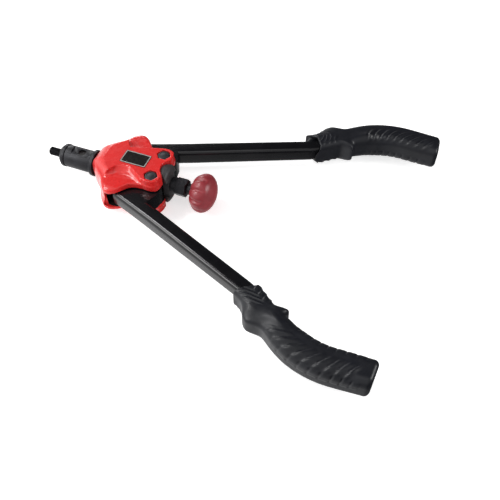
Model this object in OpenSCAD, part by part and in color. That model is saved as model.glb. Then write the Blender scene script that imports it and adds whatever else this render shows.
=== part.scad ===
// Long-arm rivet nut tool: two levers draw a threaded mandrel back through a nosepiece.
// Frame: origin on the mandrel axis at the nosepiece's front face, +X out of the nose,
// +Y towards the left lever, +Z up.

/* [Nose] */
// Thread diameter of the mandrel
mandrel_d = 10; // [6:1:12]
// Thread that stands out of the nosepiece with the levers open
mandrel_out = 17.5; // [10:0.5:30]
// Length of the nosepiece flange
nosepiece_len = 7; // [6:0.5:12]
// Diameter of the nosepiece flange
nosepiece_d = 27; // [25:0.5:32]
// Length of the nose sleeve in front of the collar
sleeve_len = 33.5; // [28:0.5:40]
// Diameter of the nose sleeve
sleeve_d = 26; // [25:0.5:30]
// Diameter of the cross hole in the sleeve
tommy_d = 8; // [4:0.5:10]
// Length of the lock collar
collar_len = 5; // [4:0.5:10]
// Diameter of the lock collar
collar_d = 31; // [29:0.5:36]

/* [Body] */
// From the collar back to the line of the lever pivots
hub_len = 79.5; // [77:0.5:92]
// Height of the casting over its raised top and bottom
body_h = 52; // [48:1:60]
// Height of the casting at the wings
wing_h = 36; // [32:1:40]
// Width over both wing tips
wing_span = 95; // [93:1:104]
// Width of the raised top at its narrowest
waist_w = 26; // [23:1:32]
// Metal around each pivot
ear_r = 10.5; // [9:0.5:13]
// Length of the label plate
label_len = 31; // [16:1:34]
// Width of the label plate
label_w = 19; // [10:1:21]

/* [Levers] */
// Distance between the two lever pivots
pivot_spacing = 34; // [33:0.5:40]
// Diameter of the pivot bolts
pivot_d = 8; // [6:0.5:9]
// Width of the lever bars
lever_w = 18; // [15:0.5:19]
// Height of the lever bars
lever_t = 20; // [16:0.5:21]
// Length of the straight stretch of each bar
arm_len = 127; // [80:1:190]
// Radius of the pull pins about the pivots
crank_r = 18; // [16:0.5:19]
// Closing swing of each lever in degrees
lever_swing = 24; // [10:1:24]

/* [Grips] */
// Width of the grips
grip_w = 32; // [28:0.5:36]
// Height of the grips
grip_h = 30; // [28:0.5:34]
// Height of the finger guards
guard_h = 6; // [0:0.5:8]
// Straight stretch at the end of each grip
grip_tail = 36; // [30:1:70]
// Height of the leaf-shaped ribs on the grips
rib_h = 1.3; // [0:0.1:2]

/* [Draw gear] */
// Diameter of the draw tube
draw_d = 12; // [10:0.5:13]
// Diameter of the spindle rod
spindle_d = 6; // [4:0.5:7]
// Width across flats of the draw nut
nut_af = 19; // [17:1:22]
// Length of the draw nut
nut_len = 19; // [15:0.5:26]
// Diameter of the knob
knob_d = 45; // [30:0.5:52]
// Length of the knob
knob_len = 28; // [22:0.5:34]

/* [Hidden] */
$fn = 72;

run_gap = 0.05;
pivot_x = -(nosepiece_len + sleeve_len + collar_len + hub_len);
pivot_y = pivot_spacing / 2;
half_h = body_h / 2;
wing_z = wing_h / 2;
tip_y = wing_span / 2;
waist_y = waist_w / 2;
washer_t = 1.2;
label_t = 0.5;
label_x = 26.5;
slot_z = lever_t / 2 + washer_t + 2 * run_gap;

// Sleeve and bores in the hub
face_x = hub_len;
neck_r = 12;
neck_len = 17;
draw_r = draw_d / 2;
head_r = neck_r - 2;
sleeve_bore_r = head_r + 2 * run_gap;
slot_front = 42;
hood_x = 44.5;
pocket_x = 13;
pocket_y = 21.5;
pocket_z = 12.6;
front_fall = 20;
fall_z = 4;
fall_x = 36;

// Pivot hardware
bolt_af = 13;
hex_pocket_af = bolt_af + 1;
head_h = 5.3;
hex_depth = 6;

// Rear bearing in the round cut between the ears
cut_x = -17;
cut_r = 12.5;
ear_back = -15;
bearing_back = ear_back - 0.5;
bearing_r = half_h - 2.5;
bearing_y = 8;
dowel_r = 2;
dowel_z = 16;

// Pull geometry in the left lever's open position
boss_r = 9;
pin_r = 3.5;
link_t = 6;
link_w = 9;
link_eye = 5.5;
fork_z = link_t / 2 + 0.3;
q_pt = [crank_r * sin(lever_swing / 2), pivot_y + crank_r * cos(lever_swing / 2)];
s_pt = [34, 14];
s_pin_r = 3;
s_play = 0.5;
link_dir = atan2(s_pt.y - q_pt.y, s_pt.x - q_pt.x);

// Draw gear
cross_x0 = 27.5;
cross_x1 = 40.5;
cross_z = 12;
cross_y = s_pt.y + 6.5;
spigot_len = 7.5;
lip_t = 2.4;
headback_x = face_x - 0.5;
headfront_x = -pivot_x - nosepiece_len - spigot_len - 2.5;
lip_x = headfront_x - lip_t;
tube_front = headback_x + 10;
nut_front = bearing_back - 0.3;
tube_back = nut_front - nut_len + 3;
nut_back = nut_front - nut_len;
ferrule_len = 5.7;
knob_front = nut_back - 0.3 - ferrule_len;
knob_back = knob_front - knob_len;

// Lever route: start, heading from the rear axis, then stretches of length and turn
arm_start = [33, pivot_y + 17.9];
arm_angle = 19.9;
lead_len = 60;
out_len = 20;
mid_len = 44;
in_len = 60;
route = [
  [lead_len, 2.5], [arm_len, 0], [out_len, 13.7], [mid_len, 0], [in_len, -38.8], [grip_tail, 0]
];
mouth_s = lead_len + arm_len + out_len / 2;
in_s = lead_len + arm_len + out_len + mid_len;
end_s = in_s + in_len + grip_tail;
bar_r = 5;
bar_fit = 0.25;
bar_end = 0.94;
bar_s = concat(
  [for (k = [0 : 3]) lead_len * k / 3],
  [for (k = [0 : 4]) lead_len + arm_len + out_len * k / 4],
  [for (k = [0 : 6]) in_s + in_len * k / 6],
  [end_s - 9]
);

function mix(a, b, t) = a + (b - a) * t;
function dir(a) = [cos(a), sin(a)];

// Smooth curve through points, m steps between neighbours
function curve(p, m) = concat([
  for (i = [0 : len(p) - 2], k = [0 : m - 1])
    let (
      t = k / m,
      a = p[max(i - 1, 0)],
      b = p[i],
      c = p[i + 1],
      d = p[min(i + 2, len(p) - 1)]
    )
    0.5 * (2 * b + (c - a) * t + (2 * a - 5 * b + 4 * c - d) * t * t
      + (3 * b - a - 3 * c + d) * t * t * t)
], [p[len(p) - 1]]);

// Point and heading at distance s along a route
function along(s, p, h, i = 0) =
  let (
    last = i == len(route) - 1,
    go = last ? s : min(s, route[i][0]),
    turn = route[i][1] * go / route[i][0],
    bend = turn == 0 ? 1 : sin(turn / 2) / (turn / 2 * PI / 180),
    q = p + go * bend * dir(h - turn / 2)
  )
  (s <= route[i][0] || last)
    ? [q.x, q.y, h - turn]
    : along(s - route[i][0], q, h - turn, i + 1);

function station(s) = along(s, arm_start, 180 - arm_angle);

// Rounded rectangle of half sizes a and c as points
function rounded(a, c, r, m) = [
  for (q = [0 : 3], k = [0 : m])
    let (
      u = (q == 0 || q == 3 ? 1 : -1) * (a - r),
      w = (q < 2 ? 1 : -1) * (c - r),
      t = 90 * (q + k / m)
    )
    [u + r * cos(t), w + r * sin(t)]
];

// One section of a swept form, its points slid along the route by the shear and the twist
function section(s, pts, shear = 0, twist = 0) = [
  for (p = pts)
    let (
      e = station(s + (shear + twist * p.y) * p.x),
      n = dir(e[2] + 90)
    )
    [e.x + n.x * p.x, e.y + n.y * p.x, p.y]
];

// Section of the lever bar, a little smaller towards the grip, with room around it
function bar_section(s, room = 0) =
  let (k = lookup(s, [[lead_len, 1], [mouth_s, bar_end]]))
  section(s, rounded(lever_w / 2 * k + room, lever_t / 2 * k + room, bar_r * k + room, 4));

// Solid skin over closed rings of equal length
module loft(rings) {
  n = len(rings[0]);
  m = len(rings);
  sides = [
    for (k = [0 : m - 2], i = [0 : n - 1])
      [k * n + i, (k + 1) * n + i, (k + 1) * n + (i + 1) % n, k * n + (i + 1) % n]
  ];
  low = [for (i = [0 : n - 1]) i];
  high = [for (i = [0 : n - 1]) m * n - 1 - i];
  polyhedron([for (r = rings) each r], concat([low], sides, [high]), convexity = 8);
}

module at_pivots() {
  translate([pivot_x, 0, 0])
    children();
}

// Turned form about the X axis from [radius, x] points
module turned(pts) {
  rotate([0, 90, 0])
    rotate_extrude()
      polygon(pts);
}

module rod(r, x0, x1) {
  translate([x0, 0, 0])
    rotate([0, 90, 0])
      cylinder(r = r, h = x1 - x0);
}

module post(p, r, z0, z1) {
  translate([p.x, p.y, z0])
    cylinder(r = r, h = z1 - z0);
}

module hex_post(p, af, z0, z1) {
  translate([p.x, p.y, z0])
    cylinder(d = af / cos(30), h = z1 - z0, $fn = 6);
}

module slab(z0, z1) {
  translate([0, 0, z0])
    linear_extrude(z1 - z0)
      children();
}

module both_sides() {
  children();
  mirror([0, 1, 0])
    children();
}

// Left half of the casting's outline at the wings and at the raised top
wing_half = curve([
  [face_x, 10.5], [face_x - 3, 14.5], [face_x - 10.5, 22.5], [59, tip_y * 0.65],
  [53, tip_y - 9], [48, tip_y - 3], [43.5, tip_y - 0.3], [38, tip_y - 0.3], [31, tip_y - 5],
  [21, pivot_y + ear_r + 3.5], [9, pivot_y + ear_r], [-2, pivot_y + ear_r + 0.3],
  [-10, pivot_y + ear_r - 2.3], [-14, pivot_y + 3], [ear_back, pivot_y - 4]
], 4);
top_half = curve([
  [face_x - 1, 9.8], [face_x - 4, 13.5], [face_x - 11.5, 19], [59, 23.5], [53.5, 26],
  [48.5, 21.5], [41.5, waist_y + 3.2], [33, waist_y + 1], [25, waist_y + 1.7],
  [16, waist_y + 6.5], [8, pivot_y + ear_r - 2.3], [-2, pivot_y + ear_r - 0.7],
  [-9.2, pivot_y + ear_r - 3.4], [-13, pivot_y + 2.2], [ear_back + 1, pivot_y - 4]
], 4);

// Height and share of the raised top's outline for each ring of the upper half
skin = [
  [0, 0], [8, 0], [wing_z - 4, 0.005], [wing_z - 2, 0.03], [wing_z - 0.7, 0.09], [wing_z, 0.2],
  [wing_z + 0.6, 0.6], [wing_z + 1.6, 0.78], [wing_z + 3.4, 0.89], [half_h - 2.2, 0.965],
  [half_h - 0.8, 1.0], [half_h, 1.045]
];

// The hub falls away to the nose, more towards the top and the bottom
function nose_fall(x, z) =
  let (
    h = max(0, abs(z) - fall_z) / (half_h - fall_z + 0.3),
    w = max(0, (x - fall_x) / (face_x - fall_x))
  )
  front_fall * (1 - sqrt(1 - h * h)) * w * w * (3 - 2 * w);

function outline_ring(t, z) =
  let (
    flat = [for (i = [0 : len(wing_half) - 1]) mix(wing_half[i], top_half[i], t)],
    half = [for (p = flat) [p.x - nose_fall(p.x, z), p.y]]
  )
  concat(
    [for (p = half) [p.x, p.y, z]],
    [for (i = [len(half) - 1 : -1 : 0]) [half[i].x, -half[i].y, z]]
  );

module casting_skin() {
  low = [for (i = [len(skin) - 1 : -1 : 1]) outline_ring(skin[i][1], -skin[i][0])];
  high = [for (s = skin) outline_ring(s[1], s[0])];
  loft(concat(low, high));
}

// Space for the lever heads, open at the sides and the rear
module lever_space() {
  slab(-slot_z, slot_z)
    both_sides()
      polygon([
        [-60, -1], [slot_front, -1], [slot_front, pocket_y], [52.5, 25], [hood_x, tip_y - 4],
        [hood_x - 0.5, tip_y + 10], [-60, tip_y + 10]
      ]);
}

module body_casting() {
  color("red")
    at_pivots()
      difference() {
        casting_skin();
        lever_space();
        translate([pocket_x, -pocket_y, -pocket_z])
          cube([slot_front - pocket_x, 2 * pocket_y, 2 * pocket_z]);
        rod(draw_r + run_gap, pocket_x, face_x);
        rod(neck_r + run_gap, face_x - neck_len, face_x + 1);
        post([cut_x, 0], cut_r, -body_h, body_h);
        for (s = [-1, 1]) {
          post([0, s * pivot_y], pivot_d / 2 + run_gap, -body_h, body_h);
          hex_post([0, s * pivot_y], hex_pocket_af, half_h - hex_depth, body_h);
          hex_post([0, s * pivot_y], hex_pocket_af, -body_h, -half_h + hex_depth + 0.6);
          translate([0, 0, s * dowel_z])
            rod(dowel_r, -8, 3);
        }
      }
}

module label_plate() {
  color("black")
    at_pivots()
      translate([label_x, 0, half_h])
        linear_extrude(label_t)
          square([label_len, label_w], center = true);
}

module pivot_bolts() {
  color("dimgray")
    at_pivots()
      for (s = [-1, 1]) {
        post([0, s * pivot_y], pivot_d / 2, -half_h + 1, half_h - hex_depth + 0.1);
        hex_post([0, s * pivot_y], bolt_af, half_h - hex_depth, half_h - hex_depth + head_h - 0.8);
        post([0, s * pivot_y], bolt_af / 2 - 0.4, half_h - hex_depth, half_h - hex_depth + head_h);
      }
}

module pivot_nuts() {
  color("dimgray")
    at_pivots()
      for (s = [-1, 1])
        difference() {
          hex_post([0, s * pivot_y], bolt_af, -half_h + 0.4, -half_h + hex_depth + 0.6);
          post([0, s * pivot_y], pivot_d / 2 + 0.01, -half_h, half_h);
        }
}

module lever_washers() {
  color("silver")
    at_pivots()
      for (s = [-1, 1], z = [lever_t / 2 + run_gap, -slot_z + run_gap])
        difference() {
          post([0, s * pivot_y], boss_r - 0.2, z, z + washer_t);
          post([0, s * pivot_y], pivot_d / 2 + run_gap, z - 1, z + washer_t + 1);
        }
}

module nose_sleeve() {
  x0 = -nosepiece_len;
  x1 = x0 - sleeve_len;
  x2 = x1 - collar_len - neck_len;
  flat_z = sleeve_d / 2 - 1.4;
  color("dimgray")
    difference() {
      turned([
        [sleeve_bore_r, x2], [neck_r, x2], [neck_r, x1], [sleeve_d / 2 - 0.8, x1],
        [sleeve_d / 2, x1 + 0.8], [sleeve_d / 2, x0 - 0.8], [sleeve_d / 2 - 0.8, x0],
        [sleeve_bore_r, x0]
      ]);
      for (s = [-1, 1])
        translate([x1 + 5, -sleeve_d, s > 0 ? flat_z : -flat_z - 10])
          cube([sleeve_len - 10, 2 * sleeve_d, 10]);
      translate([x1 + 13, 0, -sleeve_d])
        cylinder(d = tommy_d, h = 2 * sleeve_d);
    }
}

module lock_collar() {
  x0 = -nosepiece_len - sleeve_len;
  x1 = x0 - collar_len;
  color("dimgray")
    turned([
      [neck_r + run_gap, x1], [collar_d / 2, x1], [collar_d / 2, x0 - 1.2],
      [collar_d / 2 - 1.2, x0], [neck_r + run_gap, x0]
    ]);
}

module nosepiece() {
  r = mandrel_d / 2 + 0.15;
  color("dimgray")
    turned([
      [r + 0.6, 0], [nosepiece_d / 2 - 3.2, 0], [nosepiece_d / 2, -3.4],
      [nosepiece_d / 2, -nosepiece_len], [head_r + run_gap, -nosepiece_len],
      [head_r + run_gap, -nosepiece_len - spigot_len], [r, -nosepiece_len - spigot_len], [r, -0.6]
    ]);
}

module rear_bearing() {
  color("gray")
    at_pivots()
      difference() {
        intersection() {
          turned([
            [0, bearing_back], [bearing_r - 6, bearing_back], [bearing_r - 2.5, bearing_back + 1],
            [bearing_r - 0.6, bearing_back + 3], [bearing_r, bearing_back + 6], [bearing_r, 0], [0, 0]
          ]);
          post([cut_x, 0], cut_r - run_gap, -body_h, body_h);
        }
        both_sides()
          translate([-40, bearing_y, -slot_z])
            cube([60, 40, 2 * slot_z]);
        rod(draw_r + run_gap, -40, 10);
        for (s = [-1, 1])
          translate([0, 0, s * dowel_z])
            rod(dowel_r, -11, 3);
      }
}

module bearing_dowels() {
  color("silver")
    at_pivots()
      for (s = [-1, 1])
        translate([0, 0, s * dowel_z])
          rod(dowel_r - 0.01, -10.9, 2.9);
}

// Left lever: swept bar with a forked head around the pivot
module arm() {
  at_pivots()
    difference() {
      union() {
        loft([for (s = bar_s) bar_section(s)]);
        slab(-lever_t / 2, lever_t / 2)
          translate([0, pivot_y]) {
            circle(boss_r);
            polygon([
              [-10.5, -2], [-11, 5], [-10, 13], [-5, 24], [0, 32], [24, 22], [27, 11], [6, -6]
            ]);
          }
      }
      post([0, pivot_y], pivot_d / 2 + run_gap, -20, 20);
      post(q_pt, pin_r + 0.01, -20, 20);
      slab(-fork_z, fork_z)
        fork_shape();
    }
}

// Room for the link over the lever's whole swing
module fork_shape() {
  w = link_w / 2 + 0.7;
  a = link_dir;
  b = link_dir - lever_swing;
  difference() {
    union() {
      translate(q_pt)
        circle(link_eye + 0.7);
      polygon([
        q_pt + w * dir(a + 90), q_pt + 48 * dir(a) + w * dir(a + 90),
        q_pt + 48 * dir(b) - w * dir(b + 90), q_pt - w * dir(b + 90)
      ]);
    }
    translate([0, pivot_y])
      circle(boss_r - 1.6);
  }
}

module link_pin() {
  at_pivots()
    post(q_pt, pin_r, -lever_t / 2 + 0.3, lever_t / 2 - 0.3);
}

module link() {
  w = link_w / 2 * dir(link_dir + 90);
  z = link_t / 2;
  at_pivots()
    difference() {
      union() {
        post(q_pt, link_eye, -z, z);
        post(s_pt, link_eye, -z, z);
        slab(-z, z)
          polygon([q_pt + w, q_pt - w, s_pt - w, s_pt + w]);
      }
      post(q_pt, pin_r + run_gap, -20, 20);
      post(s_pt, s_pin_r + s_play, -20, 20);
    }
}

// Share of the grip's width, and the shear, by distance from its mouth
guard_t = 33;
grip_taper = [[0, 0.82], [14, 0.84], [guard_t, 0.86], [50, 0.93], [75, 1], [120, 1], [160, 0.95]];
grip_shear = [[0, 0.55], [guard_t, 0.5], [78, 0]];
grip_span = end_s - mouth_s;
end_r = 5;

// Leaf ribs across the top and the bottom, slanted by a twist of the sections
rib_pitch = 9.3;
rib_from = 58;
rib_count = floor((grip_span - rib_from - 12) / rib_pitch);
rib_to = rib_from + rib_count * rib_pitch;
rib_twist = [[rib_from - 18, 0], [rib_from, 0.045], [rib_to, 0.045], [grip_span - end_r, 0]];

// Guard bump of the outer side (u < 0) and of the inner side
function guard(t, u) =
  let (
    ahead = u < 0 ? 13 : 6,
    behind = u < 0 ? 6 : 4.5
  )
  guard_h * exp(-pow((t - guard_t) / (t < guard_t ? ahead : behind), 2));

// Rise of the ribs: a steep front and a long back, highest along the middle of the top
function rib(t, u) =
  let (
    f = (t - rib_from) / rib_pitch,
    k = f - floor(f),
    rise = min(k / 0.25, (1 - k) / 0.75)
  )
  (f <= 0 || f >= rib_count) ? 0 : rib_h * rise * max(0, 1 - pow(u / (grip_w * 0.36), 2));

function grip_section(t) =
  let (
    rest = grip_span - t,
    shrink = rest < end_r ? end_r - sqrt(max(0, end_r * end_r - pow(end_r - rest, 2))) : 0,
    a = grip_w / 2 * lookup(t, grip_taper) - shrink,
    c = grip_h / 2 - shrink,
    flat = rounded(a, c, min(a, c) * 0.62, 6),
    full = [for (p = flat) [p.x * (1 + guard(t, p.x) / a), p.y + sign(p.y) * rib(t, p.x)]]
  )
  section(mouth_s + t, full, lookup(t, grip_shear), lookup(t, rib_twist));

module grip() {
  stops = concat(
    [for (k = [0, 0.2, 0.4, 0.55, 0.68, 0.78, 0.88, 0.95, 1, 1.06, 1.14, 1.24, 1.4]) k * guard_t],
    [for (i = [0 : rib_count - 1], k = [0, 0.25, 0.6]) rib_from + (i + k) * rib_pitch],
    [rib_to],
    [for (k = [0 : 22.5 : 90]) grip_span - end_r * (1 - sin(k))]
  );
  cavity = concat([mouth_s - 4], [for (s = bar_s) if (s > mouth_s - 1) s]);
  at_pivots()
    difference() {
      loft([for (t = stops) grip_section(t)]);
      loft([
        for (s = cavity)
          bar_section(s, bar_fit + 2.2 * max(0, 1 - max(0, s - mouth_s) / 12))
      ]);
    }
}

module left_arm() {
  color("black")
    arm();
}

module left_grip() {
  color("darkslategray")
    grip();
}

module left_link_pin() {
  color("silver")
    link_pin();
}

module right_arm() {
  color("black")
    mirror([0, 1, 0])
      arm();
}

module right_grip() {
  color("darkslategray")
    mirror([0, 1, 0])
      grip();
}

module right_link_pin() {
  color("silver")
    mirror([0, 1, 0])
      link_pin();
}

module left_link() {
  color("gray")
    link();
}

module right_link() {
  color("gray")
    mirror([0, 1, 0])
      link();
}

module draw_tube() {
  color("silver")
    at_pivots()
      turned([
        [spindle_d / 2 + 0.15, tube_back], [draw_r, tube_back], [draw_r, tube_front],
        [spindle_d / 2 + 0.15, tube_front]
      ]);
}

module crosshead() {
  color("gray")
    at_pivots()
      difference() {
        slab(-cross_z, cross_z)
          polygon([
            [cross_x0, -cross_y + 4], [cross_x0 + 3, -cross_y], [cross_x1 - 3, -cross_y],
            [cross_x1, -cross_y + 4], [cross_x1, cross_y - 4], [cross_x1 - 3, cross_y],
            [cross_x0 + 3, cross_y], [cross_x0, cross_y - 4]
          ]);
        both_sides() {
          translate([0, s_pt.y - link_eye - 0.6, -fork_z])
            cube([60, 40, 2 * fork_z]);
          post(s_pt, s_pin_r + 0.01, -20, 20);
        }
        rod(draw_r + 0.01, 0, 60);
        post([s_pt.x, 0], 2.01, 0, 20);
      }
}

module crosshead_pins() {
  color("silver")
    at_pivots()
      both_sides()
        post(s_pt, s_pin_r, -cross_z, cross_z);
}

module crosshead_screw() {
  color("dimgray")
    at_pivots()
      difference() {
        post([s_pt.x, 0], 2, draw_r, cross_z - 0.2);
        hex_post([s_pt.x, 0], 2, cross_z - 2.2, cross_z);
      }
}

module draw_head() {
  lip_r = mandrel_d / 2 + 0.4;
  color("gray")
    at_pivots()
      turned([
        [draw_r + 0.01, headback_x], [head_r, headback_x], [head_r, headfront_x - 0.8],
        [head_r - 0.8, headfront_x], [lip_r, headfront_x], [lip_r, lip_x], [head_r - 1.8, lip_x],
        [head_r - 1.8, tube_front], [draw_r + 0.01, tube_front]
      ]);
}

module thrust_washer() {
  color("silver")
    at_pivots()
      turned([
        [mandrel_d / 2 + 0.4, lip_x - 0.85], [head_r - 1.85, lip_x - 0.85],
        [head_r - 1.85, lip_x], [mandrel_d / 2 + 0.4, lip_x]
      ]);
}

module draw_nut() {
  neck = 6;
  color("dimgray")
    at_pivots()
      difference() {
        union() {
          rod(nut_af / 2, nut_front - neck, nut_front);
          translate([nut_back, 0, 0])
            rotate([0, 90, 0])
              cylinder(d = nut_af / cos(30), h = nut_len - neck, $fn = 6);
        }
        rod(draw_r + 0.01, tube_back, nut_front + 1);
        rod(spindle_d / 2 + 0.3, nut_back - 1, nut_front);
      }
}

module mandrel() {
  thread_r = mandrel_d / 2;
  shank_r = thread_r - 0.4;
  flange_x = lip_x - 0.95;
  color("gray")
    at_pivots()
      difference() {
        turned([
          [0, flange_x - 8], [head_r - 2, flange_x - 8], [head_r - 2, flange_x],
          [shank_r, flange_x], [shank_r, -pivot_x], [thread_r, -pivot_x],
          [thread_r, mandrel_out - pivot_x - 1.2], [thread_r - 1.2, mandrel_out - pivot_x],
          [0, mandrel_out - pivot_x]
        ]);
        translate([flange_x - 9, 0, 0])
          rotate([0, 90, 0])
            cylinder(d = spindle_d, h = 7, $fn = 6);
      }
}

module spindle_rod() {
  key_x = lip_x - 9.05;
  color("silver")
    at_pivots() {
      rod(spindle_d / 2, knob_front - 18, key_x);
      translate([key_x - 0.01, 0, 0])
        rotate([0, 90, 0])
          cylinder(d = spindle_d - 0.2, h = 5.5, $fn = 6);
    }
}

module knob_ferrule() {
  color("black")
    at_pivots()
      turned([
        [spindle_d / 2 + 0.01, knob_front], [6.4, knob_front], [6.4, knob_front + ferrule_len],
        [spindle_d / 2 + 0.01, knob_front + ferrule_len]
      ]);
}

// Mushroom knob with finger grooves on its front side
module knob() {
  r = knob_d / 2;
  front = knob_len * 0.5;
  rear = knob_len - front;
  color("firebrick")
    at_pivots()
      difference() {
        turned(concat(
          [[spindle_d / 2 + 0.01, knob_front - 18], [spindle_d / 2 + 0.01, knob_front], [8, knob_front]],
          [for (t = [20 : 10 : 90]) [8 + (r - 8) * sin(t), knob_front - front * (1 - cos(t))]],
          [for (t = [80 : -10 : 0]) [r * sin(t), knob_back + rear * (1 - cos(t))]],
          [[0, knob_front - 18]]
        ));
        for (i = [0 : 9])
          rotate([36 * i, 0, 0])
            translate([knob_front - front * 0.42, 0, r * 0.95])
              rotate([0, 52, 0])
                cylinder(r = 2.6, h = 30, center = true);
      }
}

body_casting();
label_plate();
pivot_bolts();
pivot_nuts();
lever_washers();
nose_sleeve();
lock_collar();
nosepiece();
rear_bearing();
bearing_dowels();
left_arm();
left_grip();
left_link_pin();
right_arm();
right_grip();
right_link_pin();
left_link();
right_link();
draw_tube();
crosshead();
crosshead_pins();
crosshead_screw();
draw_head();
thrust_washer();
draw_nut();
mandrel();
spindle_rod();
knob_ferrule();
knob();
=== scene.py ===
"""Finished surfaces, light and camera for the rivet nut tool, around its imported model.

Shapes are worked out in millimetres in the row frame (X out of the nose, Y to the left lever,
Z up) and stored in metres.
"""

import math

import bmesh
import bpy
import numpy as np
from mathutils import Matrix, Vector


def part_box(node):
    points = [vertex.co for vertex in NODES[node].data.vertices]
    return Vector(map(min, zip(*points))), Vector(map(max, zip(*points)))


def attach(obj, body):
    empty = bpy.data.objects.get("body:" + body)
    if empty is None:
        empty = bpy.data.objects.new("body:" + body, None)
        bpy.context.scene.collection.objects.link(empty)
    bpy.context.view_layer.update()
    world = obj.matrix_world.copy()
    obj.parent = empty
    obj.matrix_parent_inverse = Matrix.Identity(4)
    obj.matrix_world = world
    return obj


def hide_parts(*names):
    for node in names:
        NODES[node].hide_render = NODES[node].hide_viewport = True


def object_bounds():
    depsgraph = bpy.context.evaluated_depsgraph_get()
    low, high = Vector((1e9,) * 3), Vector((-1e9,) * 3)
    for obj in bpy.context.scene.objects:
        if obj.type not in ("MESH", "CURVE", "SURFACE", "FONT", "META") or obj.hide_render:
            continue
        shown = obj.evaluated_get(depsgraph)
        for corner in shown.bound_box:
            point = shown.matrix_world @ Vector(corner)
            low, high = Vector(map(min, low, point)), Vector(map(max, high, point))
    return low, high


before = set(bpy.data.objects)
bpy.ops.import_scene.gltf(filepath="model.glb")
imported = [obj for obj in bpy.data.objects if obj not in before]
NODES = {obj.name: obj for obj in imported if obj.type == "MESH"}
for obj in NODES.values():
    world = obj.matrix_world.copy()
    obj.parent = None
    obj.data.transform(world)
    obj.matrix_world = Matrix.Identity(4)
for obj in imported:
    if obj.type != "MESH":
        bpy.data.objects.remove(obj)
cad_low, cad_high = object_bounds()
MM = 0.001

# sizes shared with the part's source
PIVOT_X, PIVOT_Y = -125.0, 17.0
HALF_H = 26.0
LEVER_W, LEVER_T, BAR_R, BAR_END = 18.0, 20.0, 5.0, 0.94
GRIP_H = 30.0
# the left lever's way: x ahead of the pivots, y and heading, then length and turn of each stretch
ROUTE_START = (33.0, 34.9, 160.1)
ROUTE = ((60, 2.5), (127, 0), (20, 13.7), (44, 0), (60, -38.8), (36, 0))
# where the grip begins and ends along it
MOUTH_S, END_S = 197.0, 349.5
SPAN = END_S - MOUTH_S


# Materials


RING_SCALE, RING_WAVER, RING_DEPTH = 900.0, 1.5, 0.02


def put(node, **values):
    """Set input sockets by name, with underscores for spaces."""
    for socket, value in values.items():
        node.inputs[socket.replace("_", " ")].default_value = value


def new_material(name):
    mat = bpy.data.materials.new(name)
    mat.use_nodes = True
    tree = mat.node_tree
    return mat, tree, tree.nodes["Principled BSDF"]


def noise(tree, coords, scale, detail=3.0):
    node = tree.nodes.new("ShaderNodeTexNoise")
    put(node, Scale=scale, Detail=detail, Roughness=0.55)
    tree.links.new(coords, node.inputs["Vector"])
    return node.outputs["Fac"]


def remap(tree, value, low, high, from_low=0.3, from_high=0.7):
    node = tree.nodes.new("ShaderNodeMapRange")
    put(node, From_Min=from_low, From_Max=from_high, To_Min=low, To_Max=high)
    tree.links.new(value, node.inputs["Value"])
    return node.outputs["Result"]


def blend_colours(tree, factor, a, b):
    node = tree.nodes.new("ShaderNodeMix")
    node.data_type = "RGBA"
    put(node, A=(*a, 1), B=(*b, 1))
    tree.links.new(factor, node.inputs["Factor"])
    return node.outputs["Result"]


def bent_normal(tree, height, strength, depth, under=None):
    """Normal bent by a height up to depth mm, on top of the bump under it."""
    node = tree.nodes.new("ShaderNodeBump")
    put(node, Strength=strength, Distance=depth * MM)
    tree.links.new(height, node.inputs["Height"])
    if under is not None:
        tree.links.new(under, node.inputs["Normal"])
    return node.outputs["Normal"]


def finish_of(
    name,
    colour,
    rough,
    vary=0.15,
    blotch=70.0,
    rough_vary=0.05,
    grain=1500.0,
    grain_depth=0.02,
    grain_strength=0.3,
    lathe=0.0,
    **fixed,
):
    """A painted, moulded or machined surface: colour and gloss drift a little, and a fine grain
    bends the light. lathe adds the fine rings of turning around the X axis."""
    mat, tree, bsdf = new_material(name)
    coords = tree.nodes.new("ShaderNodeTexCoord").outputs["Object"]
    tone = remap(tree, noise(tree, coords, blotch), 0.0, 1.0)
    dark = tuple(c * (1 - vary) for c in colour)
    light = tuple(min(1.0, c * (1 + vary)) for c in colour)
    tree.links.new(blend_colours(tree, tone, dark, light), bsdf.inputs["Base Color"])
    patches = noise(tree, coords, blotch * 3.1, 2.0)
    gloss = remap(tree, patches, rough - rough_vary, rough + rough_vary)
    tree.links.new(gloss, bsdf.inputs["Roughness"])
    normal = bent_normal(tree, noise(tree, coords, grain, 2.0), grain_strength, grain_depth)
    if lathe:
        rings = tree.nodes.new("ShaderNodeTexWave")
        rings.wave_type = "BANDS"
        rings.bands_direction = "X"
        put(rings, Scale=RING_SCALE, Distortion=RING_WAVER)
        tree.links.new(coords, rings.inputs["Vector"])
        normal = bent_normal(tree, rings.outputs["Fac"], lathe, RING_DEPTH, normal)
    tree.links.new(normal, bsdf.inputs["Normal"])
    put(bsdf, **fixed)
    return mat


RED = finish_of(
    "red_enamel", (0.72, 0.022, 0.021), 0.27, vary=0.05, blotch=40, grain=420,
    grain_depth=0.04, grain_strength=0.2, Specular_IOR_Level=0.35,
    Coat_Weight=0.7, Coat_Roughness=0.07,
)
# near-black: painted shade on the casting's faces around the space where the levers swing; the
# draw head is given it too
BARE_METAL_AND_SHADE = finish_of(
    "bare_metal_and_painted_shade", (0.012, 0.009, 0.009), 0.6, vary=0.3, blotch=120, rough_vary=0.08,
    grain=900, grain_depth=0.03, grain_strength=0.4,
)
BLACK = finish_of(
    "black_enamel", (0.0055, 0.0055, 0.0068), 0.2, vary=0.2, blotch=30, grain=500,
    grain_depth=0.02, grain_strength=0.06, Specular_IOR_Level=0.4,
    Coat_Weight=0.12, Coat_Roughness=0.14,
)
GRIP = finish_of(
    "grip_vinyl", (0.0105, 0.0112, 0.0150), 0.39, vary=0.18, blotch=45, rough_vary=0.06,
    grain=2200, grain_depth=0.03, grain_strength=0.4, Specular_IOR_Level=0.4,
)
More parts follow.
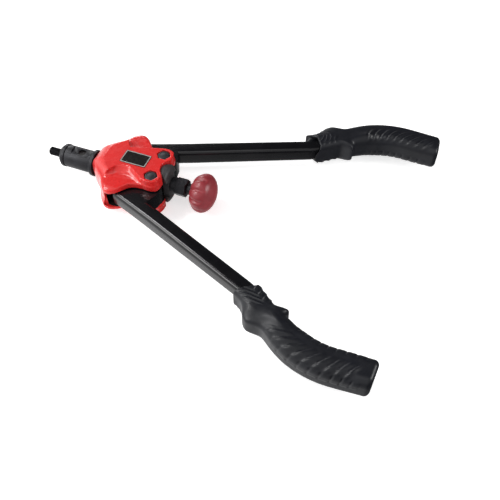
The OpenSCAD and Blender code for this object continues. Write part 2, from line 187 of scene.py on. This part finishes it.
PHOSPHATE = finish_of(
    "phosphate_steel", (0.022, 0.022, 0.026), 0.44, vary=0.22, blotch=120, rough_vary=0.08,
    grain=1800, grain_depth=0.03, grain_strength=0.35, lathe=0.35, Metallic=0.35,
    Specular_IOR_Level=0.4,
)
CAST = finish_of(
    "dark_casting", (0.068, 0.063, 0.066), 0.5, vary=0.25, blotch=160, rough_vary=0.08,
    grain=900, grain_depth=0.08, grain_strength=0.5, Metallic=0.3,
)
BOLT = finish_of(
    "blackened_bolt", (0.052, 0.052, 0.057), 0.36, vary=0.25, blotch=150, rough_vary=0.08,
    grain=1800, grain_depth=0.02, grain_strength=0.3, Metallic=0.6,
)
STEEL = finish_of(
    "bright_steel", (0.52, 0.52, 0.53), 0.27, vary=0.08, blotch=90, grain=2500,
    grain_depth=0.01, lathe=0.3, Metallic=1.0,
)
CRIMSON = finish_of(
    "crimson_plastic", (0.30, 0.034, 0.043), 0.36, vary=0.12, blotch=60, grain=1300,
    grain_depth=0.03, grain_strength=0.35, Coat_Weight=0.15, Coat_Roughness=0.3,
)
LABEL = finish_of(
    "label_foil", (0.009, 0.008, 0.0075), 0.22, vary=0.2, blotch=80, grain=1800,
    grain_depth=0.01, grain_strength=0.1, Specular_IOR_Level=0.3,
)
SILVER = finish_of(
    "silver_print", (0.50, 0.49, 0.47), 0.4, vary=0.08, blotch=90, grain=1800,
    grain_depth=0.01, Metallic=0.3,
)


# Mesh helpers


# points closer than this, in metres, are joined in made meshes and in CAD meshes
WELD, CAD_WELD = 1e-7, 2e-6


def link(name, data):
    obj = bpy.data.objects.new(name, data)
    bpy.context.scene.collection.objects.link(obj)
    return obj


def cleaned(source, target, weld=None):
    """source written to target with outward normals, and close points joined if asked."""
    bm = bmesh.new()
    bm.from_mesh(source)
    if weld:
        bmesh.ops.remove_doubles(bm, verts=bm.verts, dist=weld)
    bmesh.ops.recalc_face_normals(bm, faces=bm.faces)
    bm.to_mesh(target)
    bm.free()
    return target


def mesh_of(name, verts, faces, weld=None):
    mesh = bpy.data.meshes.new(name)
    points = (np.asarray(verts, float) * MM).tolist()
    mesh.from_pydata(points, [], [tuple(map(int, f)) for f in faces])
    return cleaned(mesh, mesh, weld)


def add(name, verts, faces, mat, body, slot, nodes=(), sharp=32.0):
    """A closed mesh as a piece that rides on a body and stands for CAD nodes."""
    return place(name, mesh_of(name, verts, faces, WELD), mat, body, nodes, sharp)


def place(name, mesh, mat, body, nodes=(), sharp=32.0):
    mesh.name = name
    mesh.materials.clear()
    mesh.materials.append(mat)
    mesh.shade_smooth()
    if sharp:
        mesh.set_sharp_from_angle(angle=math.radians(sharp))
    obj = link(name, mesh)
    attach(obj, body)
    if nodes:
        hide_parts(*nodes)
    return obj


def skin(rings, loop=False):
    """Vertices and faces over rings of equal length, closed by end faces or into a loop."""
    n, m = len(rings[0]), len(rings)
    faces = []
    for k in range(m if loop else m - 1):
        a, b = k * n, (k + 1) % m * n
        faces += [(a + i, a + (i + 1) % n, b + (i + 1) % n, b + i) for i in range(n)]
    if not loop:
        faces += [range(n - 1, -1, -1), range((m - 1) * n, m * n)]
    return np.concatenate(rings), faces


def join(*parts):
    verts, faces, base = [], [], 0
    for v, f in parts:
        verts.append(np.asarray(v, float))
        faces += [[i + base for i in face] for face in f]
        base += len(v)
    return np.concatenate(verts), faces


def fillet(points, radius, steps=4):
    """Round the corners of a closed 2D outline, each limited by its neighbours."""
    points = np.array(points, float)
    straight, share = 0.2, 0.42
    out, n = [], len(points)
    for i, p in enumerate(points):
        a, b = points[i - 1] - p, points[(i + 1) % n] - p
        la, lb = np.linalg.norm(a), np.linalg.norm(b)
        a, b = a / la, b / lb
        turn = math.pi - math.acos(max(-1.0, min(1.0, float(a @ b))))
        if turn < straight:
            out.append(p)
            continue
        back = min(radius * math.tan(turn / 2), share * la, share * lb)
        for k in range(steps + 1):
            t = k / steps
            out.append(p + a * back * (1 - t) ** 2 + b * back * t**2)
    return out


def angles(segs):
    return np.arange(segs) * 2 * math.pi / segs


def ring_z(turn, radius, z):
    """Points around Z. Radius and height are single numbers or one for each point."""
    flat = [radius * np.cos(turn), radius * np.sin(turn)]
    return np.stack([*flat, np.broadcast_to(z, turn.shape)], 1)


def ring_x(turn, radius, x):
    return np.roll(ring_z(turn, radius, x), 1, axis=1)


def turned(profile, segs=96):
    """Solid of revolution about X from a closed outline of (radius, x) points."""
    turn = angles(segs)
    return skin([ring_x(turn, r, x) for r, x in profile], loop=True)


def hex_radius(turn, af):
    return af / 2 / np.cos((turn + math.pi / 6) % (math.pi / 3) - math.pi / 6)


def hex_solid(af, low, high, bevel_low, bevel_high, segs=72):
    """Hexagonal prism along Z with the usual cone bevels at its ends."""
    turn = angles(segs)
    rim = hex_radius(turn, af)
    face_r = af / 2 * 0.94
    drop = (rim - face_r) * math.tan(math.radians(30))
    rings = [ring_z(turn, rim, low + drop * bevel_low)]
    rings.append(ring_z(turn, rim, high - drop * bevel_high))
    if bevel_low:
        rings.insert(0, ring_z(turn, face_r, low))
    if bevel_high:
        rings.append(ring_z(turn, face_r, high))
    return skin(rings)


def moved(part, offset):
    return part[0] + np.array(offset, float), part[1]


def z_to_x(part):
    """Turn a form made along Z so that it lies along X."""
    v = part[0]
    return np.stack([v[:, 2], v[:, 1], -v[:, 0]], 1), part[1]


def corner_arcs(a, c, r, steps):
    """Points and outward directions of a rounded rectangle of half sizes a and c."""
    points, outward = [], []
    for q, (su, sw) in enumerate(((1, 1), (-1, 1), (-1, -1), (1, -1))):
        for k in range(steps + 1):
            t = math.radians(90 * (q + k / steps))
            d = (math.cos(t), math.sin(t))
            points.append((su * (a - r) + r * d[0], sw * (c - r) + r * d[1]))
            outward.append(d)
    return points, outward


def flat_ring(outline, z):
    return np.column_stack([outline, np.full(len(outline), z)])


def welded_copy(node):
    """A CAD node's mesh with shared points and without its stored normals."""
    mesh = cleaned(NODES[node].data, bpy.data.meshes.new(node + "_work"), CAD_WELD)
    stored = mesh.attributes.get("custom_normal")
    if stored is not None:
        mesh.attributes.remove(stored)
    return mesh


def baked(mesh, *modifiers):
    """The mesh after modifiers, each given as (type, settings)."""
    obj = link("work", mesh)
    for kind, settings in modifiers:
        mod = obj.modifiers.new(kind.lower(), kind)
        for key, value in settings.items():
            setattr(mod, key, value)
    graph = bpy.context.evaluated_depsgraph_get()
    result = bpy.data.meshes.new_from_object(obj.evaluated_get(graph))
    bpy.data.objects.remove(obj)
    return result


def voxels(size):
    return "REMESH", {"mode": "VOXEL", "voxel_size": size * MM, "use_smooth_shade": True}


def relaxed(iterations):
    return "SMOOTH", {"factor": 0.5, "iterations": iterations}


def smoothstep(x, low, high):
    t = np.clip((np.asarray(x, float) - low) / (high - low), 0, 1)
    return t * t * (3 - 2 * t)


def fade(x, low, high):
    return 1 - smoothstep(x, low, high)


def band(x, low, full, until, end):
    """Rises from low to full and falls from until to end."""
    return smoothstep(x, low, full) * fade(x, until, end)


# Housing


# plan of the space that the levers swing in (x ahead of the pivots, distance from the axis),
# and its half height
HOOD = ((-60, -1), (42, -1), (42, 21.5), (52.5, 25), (44.5, 43.5), (-60, 43.5))
SLOT_Z = 11.3
# how far the hoods' lower front walls lean forward
FLARE = 4.0
# from this distance behind the pivots, the ears keep this share of their length
EAR_FROM, EAR_KEEP = -8.5, 0.45
# how far in front of a surface it is tested whether the levers' space lies there
PROBE = 1.2


def inside(points, corners):
    """Which 2D points lie inside the polygon."""
    x, y = points.T
    odd = np.zeros(len(points), bool)
    for (x0, y0), (x1, y1) in zip(corners, corners[1:] + corners[:1]):
        if y0 != y1:
            crosses = (y0 > y) != (y1 > y)
            odd ^= crosses & (x < x0 + (y - y0) / (y1 - y0) * (x1 - x0))
    return odd


def facing(elements, where):
    """Positions in mm of vertices or faces, and which of them face the space of the levers."""
    spot, normal = (np.empty(len(elements) * 3, np.float32) for _ in range(2))
    elements.foreach_get(where, spot)
    elements.foreach_get("normal", normal)
    spot, normal = spot.reshape(-1, 3) / MM, normal.reshape(-1, 3)
    probe = spot + PROBE * normal
    flat = np.stack([probe[:, 0] - PIVOT_X, np.abs(probe[:, 1])], 1)
    return spot, inside(flat, HOOD) & (np.abs(probe[:, 2]) < SLOT_Z)


def make_casting():
    """The painted casting: the CAD form with the soft edges that a casting and its paint have,
    ears drawn in a little at the rear, hoods flared at the lower front, and near-black painted
    shade on the faces around the space where the levers swing."""
    work = welded_copy("body_casting")
    for v in work.vertices:
        x = v.co.x / MM - PIVOT_X
        if x < EAR_FROM:
            v.co.x = (PIVOT_X + EAR_FROM + (x - EAR_FROM) * EAR_KEEP) * MM
    mesh = baked(work, voxels(0.5))
    spots, held = facing(mesh.vertices, "co")
    ahead, side, down = spots[:, 0] - PIVOT_X, np.abs(spots[:, 1]), -spots[:, 2]
    flare = smoothstep(down, -4, 10) * smoothstep(ahead, 22, 44) * smoothstep(side, 24, 38)
    spots[:, 0] += FLARE * flare * ~held
    mesh.vertices.foreach_set("co", (spots * MM).astype(np.float32).ravel())
    mesh.update()
    mesh = baked(mesh, relaxed(4))
    # faces around the levers' space get the near-black painted shade in place of the red
    painted_shade_faces = facing(mesh.polygons, "center")[1]
    place("casting_shell", mesh, RED, "housing", ["body_casting"], sharp=None)
    mesh.materials.append(BARE_METAL_AND_SHADE)
    mesh.polygons.foreach_set("material_index", painted_shade_faces.astype(np.int32))


def make_label():
    """Bare plate with a printed border line."""
    low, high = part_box("label_plate")
    centre = np.array([(low.x + high.x) / 2 / MM, 0, 0])
    length, width = (high.x - low.x) / MM, (high.y - low.y) / MM
    bottom, top = low.z / MM, high.z / MM
    proud = top + 0.06

    def sheet(inset, radius, z):
        outline = corner_arcs((length - inset) / 2, (width - inset) / 2, radius, 6)[0]
        return flat_ring(np.array(outline), z)

    plate = skin([sheet(0, 1.0, bottom), sheet(0, 1.0, top - 0.15), sheet(0.3, 0.85, top)])
    add("label_plate_face", *moved(plate, centre), LABEL, "housing", "label", ["label_plate"])
    line = [sheet(1.0, 0.8, top), sheet(1.1, 0.8, proud)]
    line += [sheet(2.7, 0.4, proud), sheet(2.8, 0.4, top)]
    border = skin(line, loop=True)
    add("label_border", *moved(border, centre), SILVER, "housing", "label")


def make_bolts():
    """Pivot bolts with dished heads, and their nuts."""
    across_flats = 13
    head_low, head_top = HALF_H - 6.0, HALF_H - 0.7
    dish = ((5.2, 0), (5.2, 0.2), (4.5, 0.2), (4.1, -0.9), (2.6, -0.9), (2.3, -0.1), (0.6, -0.1))
    shank = ((3.4, -HALF_H + 1), (4, -HALF_H + 1.6), (4, head_low + 0.1))
    turn = angles(48)
    bolt = [
        hex_solid(across_flats, head_low, head_top - 0.2, 0, 1),
        skin([ring_z(turn, r, head_top - 0.21 + z) for r, z in dish]),
        skin([ring_z(turn, r, z) for r, z in shank]),
    ]
    nut = hex_solid(across_flats, -HALF_H + 0.4, -HALF_H + 6.6, 1, 0)
    spots = [(PIVOT_X, side * PIVOT_Y, 0) for side in (-1, 1)]
    bolts = join(*(moved(part, spot) for spot in spots for part in bolt))
    nuts = join(*(moved(nut, spot) for spot in spots))
    add("pivot_bolt_set", *bolts, BOLT, "housing", "dark_steel", ["pivot_bolts"])
    add("pivot_nut_set", *nuts, PHOSPHATE, "housing", "dark_steel", ["pivot_nuts"])


def cut_mesh(part, cutters, bevel):
    """part minus the cutters, with its edges broken."""
    work = mesh_of("cut_work", *part)
    tools = [link("cutter", mesh_of("cutter", *form)) for form in cutters]
    bpy.context.view_layer.update()
    cut = {"operation": "DIFFERENCE", "solver": "EXACT"}
    edges = {
        "width": bevel * MM,
        "segments": 2,
        "limit_method": "ANGLE",
        "angle_limit": math.radians(35),
        "use_clamp_overlap": True,
    }
    steps = [("BOOLEAN", {**cut, "object": tool}) for tool in tools]
    result = baked(work, *steps, ("BEVEL", edges))
    for tool in tools:
        bpy.data.objects.remove(tool)
    return result


def block(x0, x1, y0, y1, z0, z1):
    ring = np.array([(x0, y0), (x1, y0), (x1, y1), (x0, y1)], float)
    return skin([flat_ring(ring, z0), flat_ring(ring, z1)])


def post(x, radius, z0, z1, segs=64):
    turn = angles(segs)
    return moved(skin([ring_z(turn, radius, z) for z in (z0, z1)]), (x, 0, 0))


def make_nose():
    """Sleeve with wrench flats and a cross hole, lock collar and nosepiece."""
    tip, front, rear, neck_end = 0, -7, -40.5, -62.5
    bore, neck, edge, outside = 10.1, 12, 12.2, 13
    sleeve = turned(
        [
            (bore, neck_end), (neck, neck_end), (neck, rear), (edge, rear),
            (outside, rear + 0.8), (outside, front - 0.8), (edge, front), (bore, front),
        ]
    )
    flat_rear, flat_front, flat_z, far = rear + 2.5, -15, 11.6, 30
    cutters = [
        block(flat_rear, flat_front, -far, far, flat_z, far),
        block(flat_rear, flat_front, -far, far, -far, -flat_z),
        post(rear + 13, 4.5, -far, far),
    ]
    body = cut_mesh(sleeve, cutters, 0.25)
    place("sleeve_body", body, PHOSPHATE, "housing", ["nose_sleeve"])
    collar = fillet(
        [(12.05, rear - 5), (15.5, rear - 5), (15.5, rear - 1.2), (14.3, rear), (12.05, rear)],
        0.4,
    )
    add("collar_ring", *turned(collar), PHOSPHATE, "housing", "dark_steel", ["lock_collar"])
    flange = fillet(
        [
            (5.75, tip), (10.3, tip), (13.5, -3.4), (13.5, front), (10.05, front),
            (10.05, front - 7.5), (5.15, front - 7.5), (5.15, tip - 0.6),
        ],
        0.4,
    )
    add("nosepiece_flange", *turned(flange), PHOSPHATE, "housing", "dark_steel", ["nosepiece"])


def make_bearing():
    mesh = baked(welded_copy("rear_bearing"), voxels(0.4), relaxed(5))
    place("bearing_block", mesh, CAST, "housing", ["rear_bearing"], sharp=None)


# Levers and grips


def station(s):
    """Point and heading at distance s along the left lever."""
    x, y, heading = ROUTE_START
    for i, (length, turn) in enumerate(ROUTE):
        last = i == len(ROUTE) - 1
        go = s if last else min(s, length)
        part = math.radians(turn * go / length)
        chord = go * (math.sin(part / 2) / (part / 2) if part else 1)
        a = math.radians(heading) - part / 2
        x += chord * math.cos(a)
        y += chord * math.sin(a)
        heading -= math.degrees(part)
        if s <= length or last:
            break
        s -= length
    return x, y, heading


def rounded_loop(a, c, r, n):
    """n points evenly along a rounded rectangle of half sizes a and c, starting at the middle of
    the +u side over the top, with outward normals, the arc length from the top's middle and the
    whole length."""
    pts, nor = corner_arcs(a, c, r, 24)
    pts = np.array([(a, 0.0), *pts, (a, 0.0)])
    nor = np.array([(1.0, 0.0), *nor, (1.0, 0.0)])
    run = np.concatenate([[0], np.cumsum(np.linalg.norm(np.diff(pts, axis=0), axis=1))])
    at = np.arange(n) * run[-1] / n
    p = np.stack([np.interp(at, run, pts[:, i]) for i in (0, 1)], 1)
    m = np.stack([np.interp(at, run, nor[:, i]) for i in (0, 1)], 1)
    m /= np.linalg.norm(m, axis=1, keepdims=True)
    top = (c - r) + math.pi * r / 2 + (a - r)
    w = (top - at + run[-1] / 2) % run[-1] - run[-1] / 2
    return p, m, w, run[-1]


def sweep_point(s, p, shear, slide):
    """Section points p (u, z) placed across the lever at s, slid along it."""
    out = []
    for (u, z), go in zip(p, shear * p[:, 0] + slide):
        x, y, h = station(s + go)
        h = math.radians(h)
        out.append((x + PIVOT_X - u * math.sin(h), y + u * math.cos(h), z))
    return np.array(out)


# by distance from the grip's mouth: half width of its outer and of its inner side, and how far a
# section slides along the lever for each millimetre of width
OUTER = np.array([[0, 14.4], [14, 14.4], [33, 14.4], [50, 15.0], [75, 16], [120, 16], [160, 15.2]])
INNER = np.array(
    [[0, 11.0], [12, 10.4], [24, 10.1], [33, 11.4], [50, 14.0], [75, 16], [120, 16], [160, 15.2]]
)
SHEAR = np.array([[0, 0.55], [33, 0.52], [78, 0], [120, 0], [152, 0.12]])
CORNER = 0.62
GRIP_END_R = 5.0
RIB_PITCH = 9.3
RIB_FROM, RIB_TO = 60.0, 143.0
# how far into the grip the hollow for the bar goes, and where it has its sections
HOLLOW_END = SPAN - 9
HOLLOW_STOPS = (-0.4, 2, 5, 8, 12, 18, 26, 50, 66, 82, 98, 110, HOLLOW_END)


def guard(t, u):
    """Rise of the finger guards, on the outer side (u < 0) and on the inner side."""
    outer = u < 0
    rise = np.where(outer, 9.0, 7.0)
    at = np.where(outer, 38.0, 31.5)
    ahead = np.where(outer, 15.0, 4.2)
    behind = np.where(outer, 6.0, 5.6)
    return rise * np.exp(-(((t - at) / np.where(t < at, ahead, behind)) ** 2))


def leaf_ribs(t, w):
    """Slanted leaf-shaped ribs: steep towards the mouth, long slope towards the end."""
    height, middle, half_width, steep = 1.6, -6.0, 9.5, 0.3
    lens = np.clip(1 - (np.abs(w - middle) / half_width) ** 2.0, 0, 1)
    phase = (t - RIB_FROM - 0.85 * w - 0.012 * w * w) / RIB_PITCH
    f = phase - np.floor(phase)
    saw = np.where(f < steep, smoothstep(f, 0, steep), fade(f, steep, 1.0))
    zone = smoothstep(phase, -0.6, 0.2) * fade(t - 0.6 * w, RIB_TO - 8, RIB_TO)
    return height * lens * saw * zone


def notches(t, w, low, high, slant):
    """Blocks along an edge, parted by narrow grooves."""
    rise, depth, soft = 0.45, 1.15, 2.5
    phase = (t - RIB_FROM - 4 - slant * w) / RIB_PITCH
    groove = np.exp(-(((phase - np.round(phase)) * RIB_PITCH) ** 2))
    zone = band(t, RIB_FROM - 2, RIB_FROM + 3, RIB_TO - 4, RIB_TO)
    return band(w, low, low + soft, high - soft, high) * zone * (rise - depth * groove)


def chevrons(t, w):
    """Four raised chevrons behind the mouth."""
    height, half_width, pitch, first, point = 0.9, 2.0, 7.5, 6, 3.5
    line = np.where(w < point, 1.2 * (w - point), point - w)
    phase = (t - first - line) / pitch
    number = np.round(phase)
    shown = (number >= 0) & (number <= 3)
    mask = band(w, -11, -8, 13, 17) * fade(t, 22, 27)
    ridge = np.clip(1 - np.abs(phase - number) * pitch / half_width, 0, 1)
    return height * shown * mask * ridge


def mound(t, w, at, length, middle, width):
    return np.exp(-(((t - at) / length) ** 2) - ((w - middle) / width) ** 2)


def grip_relief(t, w, full):
    """Height of the relief at t from the mouth and w around from the top's middle: chevrons and
    ribs above and below, a thumb hump with a dip beside it, a hump below, and notched edges."""
    under = w % full - full / 2
    relief = chevrons(t, w) + 0.6 * chevrons(t - 4, under)
    relief += leaf_ribs(t, w) + leaf_ribs(t - 9, under)
    relief += 2.6 * mound(t, w, 47, 11, 1.0, 5.0)
    relief -= 1.8 * mound(t, w, 40, 8, -8, 5.5)
    relief += 1.5 * mound(t, under, 62, 13, -7, 5.0)
    relief += 0.55 * notches(t, w, 8, 25, 0.2)
    relief += 0.8 * notches(t, w, -27, -14, 0.25)
    return relief


def straight_cut(p, t, reach):
    """How far the mouth's lower side is set back, so that it runs straight across the bar."""
    u, z = p.T
    set_back = (6 - 0.55 * u) * smoothstep(u, -13.5, -9.5) * smoothstep(-z, 2, 8)
    return set_back * fade(t, 0, reach)


def make_grip_mesh(n=176):
    """The left grip: its outside with the relief, and the hollow that the bar fills. The mouth's
    upper lip reaches forward, and its lower one is cut straight."""
    rise = GRIP_END_R * np.sin(np.radians(np.arange(10, 91, 10)))
    end = SPAN - GRIP_END_R
    rings = []
    for t in np.concatenate([np.linspace(0, end, 215), end + rise]):
        over = max(0.0, GRIP_END_R - (SPAN - t))
        shrink = GRIP_END_R - math.sqrt(max(0.0, GRIP_END_R**2 - over**2))
        outer, inner = np.interp(t, *OUTER.T) - shrink, np.interp(t, *INNER.T) - shrink
        a, c = (outer + inner) / 2, GRIP_H / 2 - shrink
        p, m, w, full = rounded_loop(a, c, min(a, c) * CORNER, n)
        p = p + m * (grip_relief(t, w, full) * fade(t, end - 4, end))[:, None]
        p[:, 0] *= 1 + guard(t, p[:, 0]) / a
        p[:, 0] += (inner - outer) / 2
        slide = -6.0 * band(w, 7, 19, 22, 40) * fade(t, 0, 24) + straight_cut(p, t, 32)
        rings.append(sweep_point(MOUTH_S + t, p, np.interp(t, *SHEAR.T), slide))
    hollow = []
    for t in HOLLOW_STOPS:
        wide = 0.25 + 1.6 * max(0.0, 1 - max(0.0, t) / 12)
        a, c = LEVER_W / 2 * BAR_END + wide, LEVER_T / 2 * BAR_END + wide
        p, _, w, _ = rounded_loop(a, c, BAR_R * BAR_END + wide, n)
        shear = np.interp(t, *SHEAR.T) * fade(t, 0, 14)
        slide = -5.0 * band(w, 5, 14, 17, 32) * fade(t, 0, 20) + straight_cut(p, t, 26)
        hollow.append(sweep_point(MOUTH_S + t, p, shear, slide))
    return skin(hollow[::-1] + rings)


def make_levers():
    """Both bars, and the grip moulding, which is turned over for the right lever."""
    verts, faces = make_grip_mesh()
    flips = {"left": (1, 1, 1), "right": (1, -1, -1)}
    for side, flip in flips.items():
        grip = (verts * np.array(flip), faces)
        body, node = side + "_lever", side + "_grip"
        add(node + "_moulding", *grip, GRIP, body, "grip", [node], sharp=None)
    for side in flips:
        body, node = side + "_lever", side + "_arm"
        mesh = welded_copy(node)
        bar = place(side + "_bar", mesh, BLACK, body, [node], sharp=30)
        mod = bar.modifiers.new("weighted", "WEIGHTED_NORMAL")
        mod.keep_sharp = True
        mod.weight = 80


# Draw gear and spindle


def make_nut():
    """Hex draw nut with a round collar at its front."""
    front, seat, back = PIVOT_X - 15.8, PIVOT_X - 21.8, PIVOT_X - 34.8
    bore, radius = 3.3, 9.4
    hexa = z_to_x(hex_solid(19, back, seat + 0.2, 1, 1))
    collar = turned(fillet([(bore, seat), (radius, seat), (radius, front), (bore, front)], 0.8))
    add("draw_nut_hex", *join(hexa, collar), PHOSPHATE, "draw_gear", "dark_steel", ["draw_nut"])


def make_mandrel():
    """Threaded mandrel with its drive head."""
    radius, pitch, depth, tip, chamfer, centre = 5, 1.5, 0.9, 17.5, 1.2, 0.5
    head = (
        (centre, -28.3), (7.6, -28.3), (8.0, -27.9), (8.0, -20.7), (7.7, -20.4), (4.4, -20.4),
        (4.1, -1.0),
    )
    turn = angles(48)
    rings = [ring_x(turn, r, x) for r, x in head]
    for x in np.arange(-0.9, tip + 0.01, pitch / 10):
        f = (x / pitch - turn / (2 * math.pi)) % 1.0
        cut = np.clip(np.abs(f - 0.5) * 2 * 1.25 - 0.12, 0, 1)
        end = radius - max(0.0, x - (tip - chamfer))
        rings.append(ring_x(turn, np.minimum(radius - depth * cut, end), x))
    rings.append(ring_x(turn, centre, tip))
    rod = skin(rings)
    add("mandrel_thread_rod", *rod, PHOSPHATE, "spindle", "dark_steel", ["mandrel"], sharp=40)


def make_knob():
    """Mushroom knob: finger flutes on the side of the neck, plain dome at the rear."""
    front, length, radius, neck = PIVOT_X - 40.8, 28.0, 22.5, 8.0
    half = length / 2
    profile = [(3.1, front - 2), (3.1, front - 0.3), (7.4, front), (neck, front - 0.15)]
    profile += [
        (neck + (radius - neck) * math.sin(a), front - half * (1 - math.cos(a)))
        for a in np.radians(np.arange(8, 91, 3))
    ]
    profile += [
        (radius * math.sin(a), front - length + half * (1 - math.cos(a)))
        for a in np.radians(np.arange(87, 1, -3))
    ]
    flutes, flute_width, flute_depth, flute_reach = 10, 0.17, 1.9, 0.8
    turn = angles(240)
    f = (turn * flutes / (2 * math.pi)) % 1.0 - 0.5
    flute = np.exp(-((f / flute_width) ** 2))
    rings = []
    for r, x in profile:
        cut = smoothstep(r, 8.5, 13.5) * fade(front - x, 15, 22) * flute
        rings.append(ring_x(turn, r - flute_depth * cut, x - flute_reach * cut))
    add("knob_moulding", *skin(rings), CRIMSON, "spindle", "knob", ["knob"], sharp=None)
    bore, outside, lead = 3.05, 6.4, front + 5.7
    ferrule = fillet([(bore, front), (outside, front), (outside, lead), (bore, lead)], 0.5)
    add("ferrule_ring", *turned(ferrule), PHOSPHATE, "spindle", "dark_steel", ["knob_ferrule"])


def dress_nodes():
    """Finishes for the CAD nodes that show as they are."""
    looks = {
        STEEL: (
            "lever_washers", "bearing_dowels", "draw_tube", "crosshead_pins", "thrust_washer",
            "spindle_rod",
        ),
        CAST: ("left_link", "right_link", "crosshead"),
        BARE_METAL_AND_SHADE: ("draw_head",),
        PHOSPHATE: ("crosshead_screw",),
        BLACK: ("left_link_pin", "right_link_pin"),
    }
    for mat, names in looks.items():
        for name in names:
            for holder in NODES[name].material_slots:
                holder.material = mat


# Stage


FLOOR_Z = cad_low.z - 0.0002
FLOOR_HALF, DOME_R = 4, 3.6
# place, size and power of the square lights
LIGHTS = {
    "key": ((0.7, 0.6, 0.75), 0.6, 7),
    "fill": ((-0.45, 0.95, 1.2), 2.0, 7),
    "top": ((-0.2, 0.3, 1.3), 0.6, 0.9),
    "skim": ((0.75, -1.05, 0.45), 0.5, 4),
    "streak": ((0.54, -0.02, 1.1), 0.3, 5),
    "rim": ((-1.3, -0.2, 0.5), 0.5, 6),
}
LIGHT_AIM = Vector((-0.22, 0.0, 0.0))


def pale_surface(name, verts, faces, tone, specular, glow):
    """Part of the stage: a matt grey that gives off some white light."""
    mesh = bpy.data.meshes.new(name)
    mesh.from_pydata(verts, [], faces)
    mat, _, bsdf = new_material("pale_" + name)
    put(bsdf, Base_Color=(tone, tone, tone, 1), Roughness=0.9, Specular_IOR_Level=specular)
    put(bsdf, Emission_Color=(1, 1, 1, 1), Emission_Strength=glow)
    mesh.materials.append(mat)
    return link(name, mesh)


def make_floor():
    corners = [(x * FLOOR_HALF, y * FLOOR_HALF) for x, y in ((-1, -1), (1, -1), (1, 1), (-1, 1))]
    verts = [(x, y, FLOOR_Z) for x, y in corners]
    floor = pale_surface("floor", verts, [(0, 1, 2, 3)], 0.9, 0.1, 0.62)
    floor.visible_glossy = False


def make_backdrop():
    """Pale dome that only the camera sees, so low views end in white too."""
    turn, tilts = angles(48), np.linspace(0, math.radians(88), 12)
    rings = [ring_z(turn, DOME_R * math.cos(t), FLOOR_Z + DOME_R * math.sin(t)) for t in tilts]
    verts, faces = skin(rings)
    open_ended = faces[:-2]
    dome = pale_surface("backdrop", verts.tolist(), open_ended, 0.0, 0.0, 0.9)
    dome.visible_diffuse = dome.visible_glossy = dome.visible_shadow = False
    dome.visible_transmission = dome.visible_volume_scatter = False


def make_light():
    """A world that is bright on the nose's side, and soft lights around."""
    world = bpy.data.worlds.new("studio")
    bpy.context.scene.world = world
    world.use_nodes = True
    tree = world.node_tree
    back = tree.nodes["Background"]
    put(back, Color=(1, 1, 1, 1))
    side = tree.nodes.new("ShaderNodeVectorMath")
    side.operation = "DOT_PRODUCT"
    side.inputs[1].default_value = (0.75, 0.1, -0.35)
    tree.links.new(tree.nodes.new("ShaderNodeTexCoord").outputs["Generated"], side.inputs[0])
    strength = remap(tree, side.outputs["Value"], 0.03, 1.15, -0.1, 0.75)
    tree.links.new(strength, back.inputs["Strength"])
    for name, (spot, size, power) in LIGHTS.items():
        data = bpy.data.lights.new(name, "AREA")
        data.shape = "SQUARE"
        data.size = size
        data.energy = power
        light = link(name, data)
        light.location = spot
        light.rotation_euler = (LIGHT_AIM - Vector(spot)).to_track_quat("-Z", "Y").to_euler()
    bpy.context.scene.view_settings.view_transform = "Standard"


def make_camera():
    """The photograph's view, from a pinhole camera fitted to its outline."""
    aim = Vector((-0.256, 0.05685, 0.0))
    back = Vector((-0.21212, 0.56824, 0.79505)).normalized()
    distance, focal_px, photo_px, sensor = 0.6673, 637.7, 500.0, 36.0
    data = bpy.data.cameras.new("photo_view")
    data.sensor_fit = "HORIZONTAL"
    data.sensor_width = sensor
    data.lens = focal_px / photo_px * sensor
    data.clip_start, data.clip_end = 0.01, 20
    camera = link("photo_view", data)
    turn = back.to_track_quat("Z", "Y")
    camera.matrix_world = Matrix.Translation(aim + distance * back) @ turn.to_matrix().to_4x4()
    bpy.context.scene.camera = camera


make_camera()
make_casting()
make_label()
make_bolts()
make_nose()
make_bearing()
make_levers()
make_nut()
make_mandrel()
make_knob()
dress_nodes()
make_floor()
make_backdrop()
make_light()
